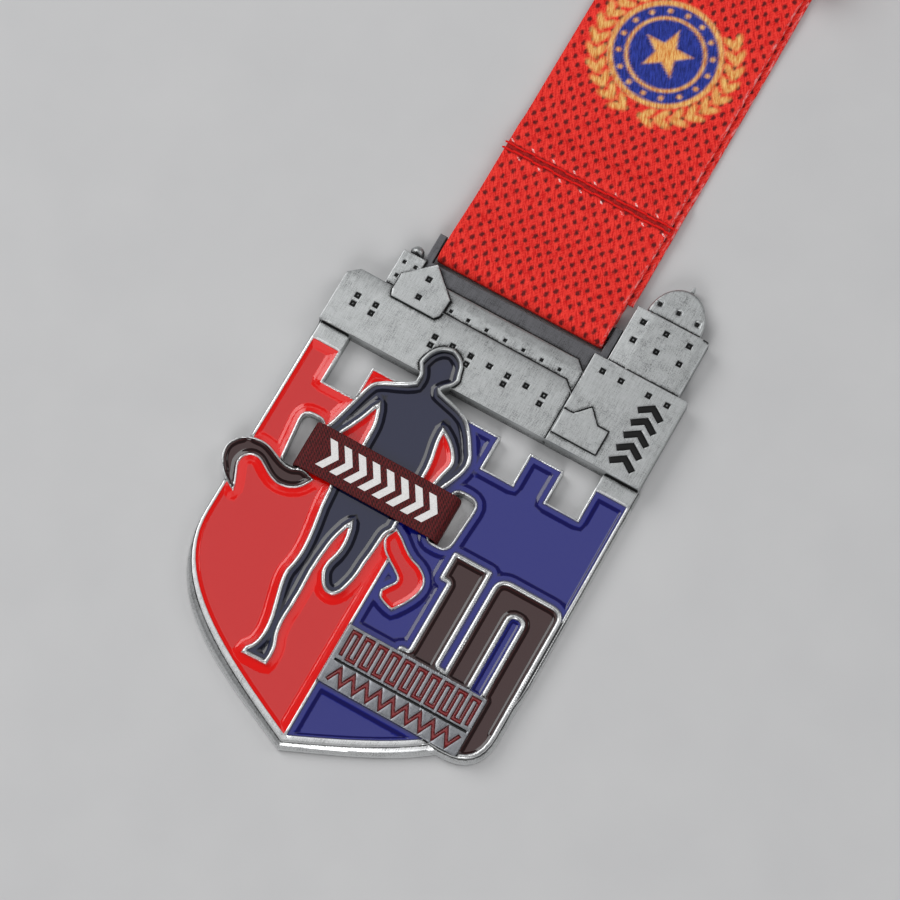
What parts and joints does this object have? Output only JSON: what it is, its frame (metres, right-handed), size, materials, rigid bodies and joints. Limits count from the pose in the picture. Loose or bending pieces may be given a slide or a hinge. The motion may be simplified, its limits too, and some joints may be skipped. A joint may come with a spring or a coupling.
{
  "type": "sports finisher medal",
  "caption": "Shield-shaped cast finisher medal with a castle, a runner and enamel fields, a sash ribbon through two slots, and a neck ribbon looped on a hanger bar.",
  "frame": {"origin": "middle of the shield's flat back face", "axes": "+Z out of the front face; +Y to the top of the medal, where the neck ribbon leaves; +X to the right as seen from the front"},
  "size_m": [0.0749, 0.2586, 0.0094],
  "materials": {
    "silver": "antique silver plate on a zinc die casting, dark in the recesses",
    "enamel_red": "soft enamel, glossy",
    "enamel_blue": "soft enamel, glossy",
    "enamel_navy": "soft enamel, glossy",
    "enamel_brown": "soft enamel, glossy",
    "row_red": "soft enamel, semi-gloss",
    "mark_black": "black enamel, semi-gloss",
    "sash_cloth": "dark brown-red woven ribbon",
    "neck_cloth": "red woven polyester ribbon with a printed halftone",
    "tie_rubber": "black elastic band",
    "seam_thread": "red sewing thread"
  },
  "bodies": {
    "medal": {"medal_casting": "silver", "enamel_red_upper": "enamel_red", "enamel_red_lower": "enamel_red", "enamel_red_merlon": "enamel_red", "enamel_red_arm_left": "enamel_red", "enamel_red_arm_right": "enamel_red", "enamel_red_hip_tail": "enamel_red", "enamel_blue_main": "enamel_blue", "enamel_blue_foot": "enamel_blue", "enamel_blue_zero_eye": "enamel_blue", "enamel_navy_runner": "enamel_navy", "enamel_brown_side_tail": "enamel_brown", "enamel_brown_one": "enamel_brown", "enamel_brown_zero": "enamel_brown", "enamel_row_1": "row_red", "enamel_row_2": "row_red", "black_chevron_1": "mark_black", "black_chevron_2": "mark_black", "black_chevron_3": "mark_black", "black_chevron_4": "mark_black", "black_chevron_5": "mark_black", "sash_ribbon": "sash_cloth"},
    "ribbon": {"neck_ribbon": "neck_cloth", "seam_row_lower": "seam_thread", "seam_row_upper": "seam_thread", "storage_tie": "tie_rubber"}
  },
  "joints": [
    {"name": "ribbon_swing", "type": "hinge", "parent": "medal", "child": "ribbon", "pos_m": [-0.0034, 0.0669, 0.0022], "axis": [1, 0, 0], "range_deg": [-120, 120]}
  ]
}
